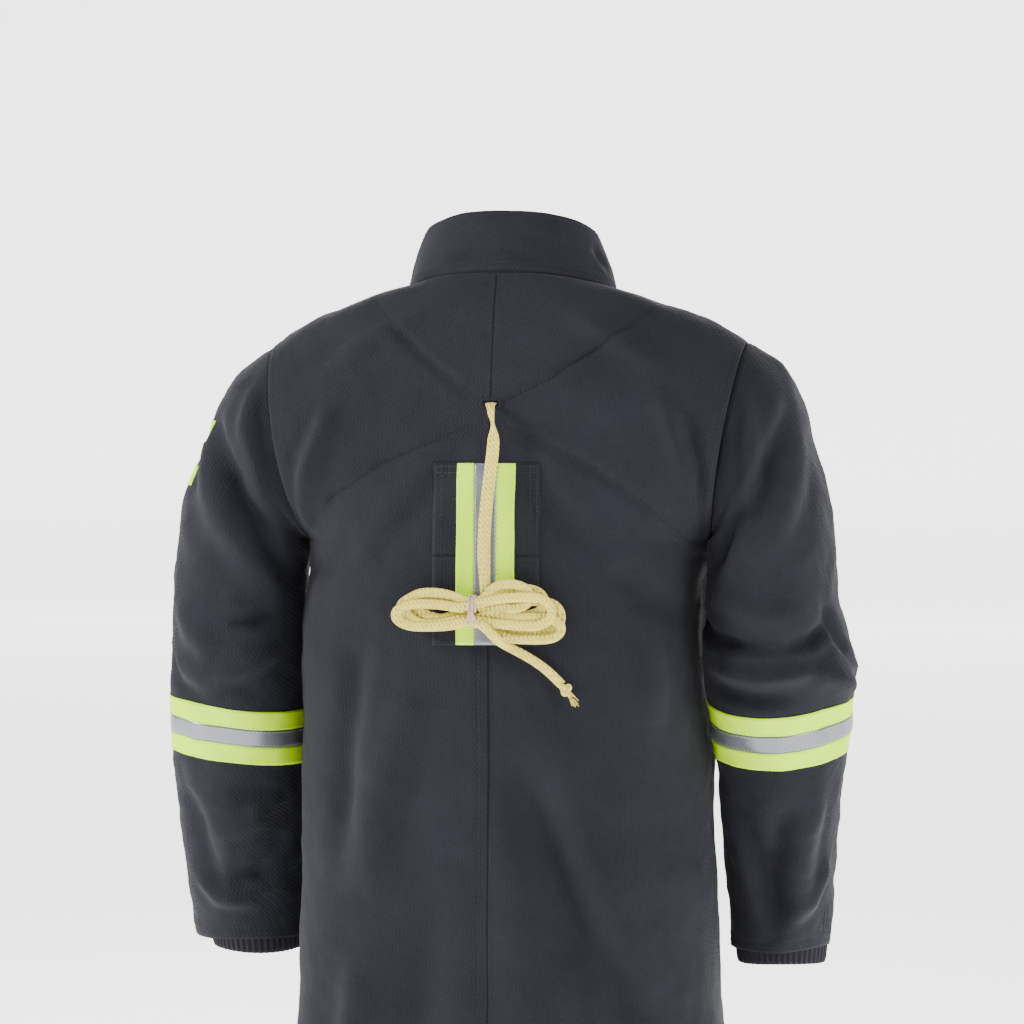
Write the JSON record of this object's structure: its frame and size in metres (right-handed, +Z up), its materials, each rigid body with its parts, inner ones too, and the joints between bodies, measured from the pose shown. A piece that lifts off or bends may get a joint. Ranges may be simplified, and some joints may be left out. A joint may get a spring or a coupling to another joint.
{
  "type": "turnout coat",
  "caption": "Dark protective turnout coat with stand collar, zipped and flapped front, reflective sleeve bands, and a rescue strap bundled on a back pouch",
  "frame": {"origin": "underside of the hanger loop inside the back of the neck, where it bears on a hook", "axes": "+Z up along the hanging coat, -Y out of the zipped front, +X towards the wearer's left sleeve"},
  "size_m": [0.6296, 0.3179, 0.869],
  "materials": {
    "shell_cloth": "matt twill, dark charcoal",
    "liner_cloth": "quilted, matt",
    "barrier_film": "laminated film, satin",
    "knit": "rib knit, matt",
    "trim_lime": "fluorescent, matt",
    "trim_silver": "reflective, satin",
    "rescue_webbing": "woven, matt",
    "harness_webbing": "woven, matt",
    "tie_thread": "waxed thread",
    "zip_cloth": "woven tape",
    "zip_brass": "worn satin",
    "hook_and_loop": "napped"
  },
  "bodies": {
    "coat": {"collar_lining": "liner_cloth", "collar_outer": "shell_cloth", "drag_harness": "harness_webbing", "front_facings": "shell_cloth", "hanger_loop": "harness_webbing", "hem_facing": "shell_cloth", "left_pocket": "shell_cloth", "left_shell_back": "shell_cloth", "left_shell_front": "shell_cloth", "left_zip_tape": "zip_cloth", "left_zip_teeth": "zip_brass", "moisture_barrier": "barrier_film", "patch_tape_lime": "trim_lime", "patch_tape_silver": "trim_silver", "pocket_flap_roots": "shell_cloth", "pocket_loop_patches": "hook_and_loop", "rescue_strap_hank": "rescue_webbing", "rescue_strap_run": "rescue_webbing", "rescue_strap_tail": "rescue_webbing", "right_pocket": "shell_cloth", "right_shell_back": "shell_cloth", "right_shell_front": "shell_cloth", "right_zip_tape": "zip_cloth", "right_zip_teeth": "zip_brass", "rope_pocket_lower": "shell_cloth", "rope_pocket_upper": "shell_cloth", "slit_binding": "shell_cloth", "storm_flap_loop_strip": "hook_and_loop", "storm_flap_root": "shell_cloth", "strap_end_knot": "rescue_webbing", "strap_tie": "tie_thread", "thermal_liner": "liner_cloth", "throat_tab_loop_patch": "hook_and_loop", "throat_tab_root": "shell_cloth", "zip_stops": "zip_brass"},
    "left_upper_sleeve": {"left_upper_sleeve_shell": "shell_cloth", "left_upper_sleeve_liner": "liner_cloth", "sleeve_mark": "trim_lime"},
    "right_upper_sleeve": {"right_upper_sleeve_shell": "shell_cloth", "right_upper_sleeve_liner": "liner_cloth"},
    "storm_flap": {"storm_flap": "shell_cloth", "storm_flap_hook_strip": "hook_and_loop"},
    "zip_slider": {"zip_slider": "zip_brass"},
    "zip_pull": {"zip_pull": "zip_brass"},
    "throat_tab": {"throat_tab": "shell_cloth", "throat_tab_hook_patch": "hook_and_loop"},
    "left_forearm": {"left_forearm_shell": "shell_cloth", "left_forearm_liner": "liner_cloth", "left_band_lime": "trim_lime", "left_band_silver": "trim_silver", "left_knit_cuff": "knit"},
    "left_pocket_flap": {"left_pocket_flap": "shell_cloth", "left_pocket_hook_patch": "hook_and_loop"},
    "right_forearm": {"right_forearm_shell": "shell_cloth", "right_forearm_liner": "liner_cloth", "right_band_lime": "trim_lime", "right_band_silver": "trim_silver", "right_knit_cuff": "knit"},
    "right_pocket_flap": {"right_pocket_flap": "shell_cloth", "right_pocket_hook_patch": "hook_and_loop"}
  },
  "joints": [
    {"name": "zip_run", "type": "slide", "parent": "coat", "child": "zip_slider", "axis": [0, -0.0645, -0.9979], "range_m": [0, 0.655]},
    {"name": "zip_pull_swing", "type": "hinge", "parent": "zip_slider", "child": "zip_pull", "pos_m": [0, -0.17086, -0.06101], "axis": [-1, 0, 0], "range_deg": [0, 150]},
    {"name": "storm_flap_open", "type": "hinge", "parent": "coat", "child": "storm_flap", "pos_m": [0.034, -0.17299, -0.03968], "axis": [0, 0.0645, 0.9979], "range_deg": [0, 130]},
    {"name": "throat_tab_open", "type": "hinge", "parent": "coat", "child": "throat_tab", "pos_m": [0.0185, -0.16701, -0.00975], "axis": [0, 0.1644, 0.9864], "range_deg": [0, 150]},
    {"name": "left_shoulder_swing", "type": "hinge", "parent": "coat", "child": "left_upper_sleeve", "pos_m": [0.202, -0.076, -0.152], "axis": [-0.9848, 0, 0.1736], "range_deg": [-30, 110]},
    {"name": "left_elbow_bend", "type": "hinge", "parent": "left_upper_sleeve", "child": "left_forearm", "pos_m": [0.2535, -0.072, -0.345], "axis": [-1, 0, 0], "range_deg": [0, 75]},
    {"name": "left_pocket_flap_lift", "type": "hinge", "parent": "coat", "child": "left_pocket_flap", "pos_m": [0.11401, -0.1968, -0.54377], "axis": [0.9336, 0.3584, 0], "range_deg": [-120, 0]},
    {"name": "right_shoulder_swing", "type": "hinge", "parent": "coat", "child": "right_upper_sleeve", "pos_m": [-0.202, -0.076, -0.152], "axis": [-0.9848, 0, -0.1736], "range_deg": [-30, 110]},
    {"name": "right_elbow_bend", "type": "hinge", "parent": "right_upper_sleeve", "child": "right_forearm", "pos_m": [-0.2535, -0.072, -0.345], "axis": [-1, 0, 0], "range_deg": [0, 75]},
    {"name": "right_pocket_flap_lift", "type": "hinge", "parent": "coat", "child": "right_pocket_flap", "pos_m": [-0.11401, -0.1968, -0.54377], "axis": [0.9336, -0.3584, 0], "range_deg": [-120, 0]}
  ]
}
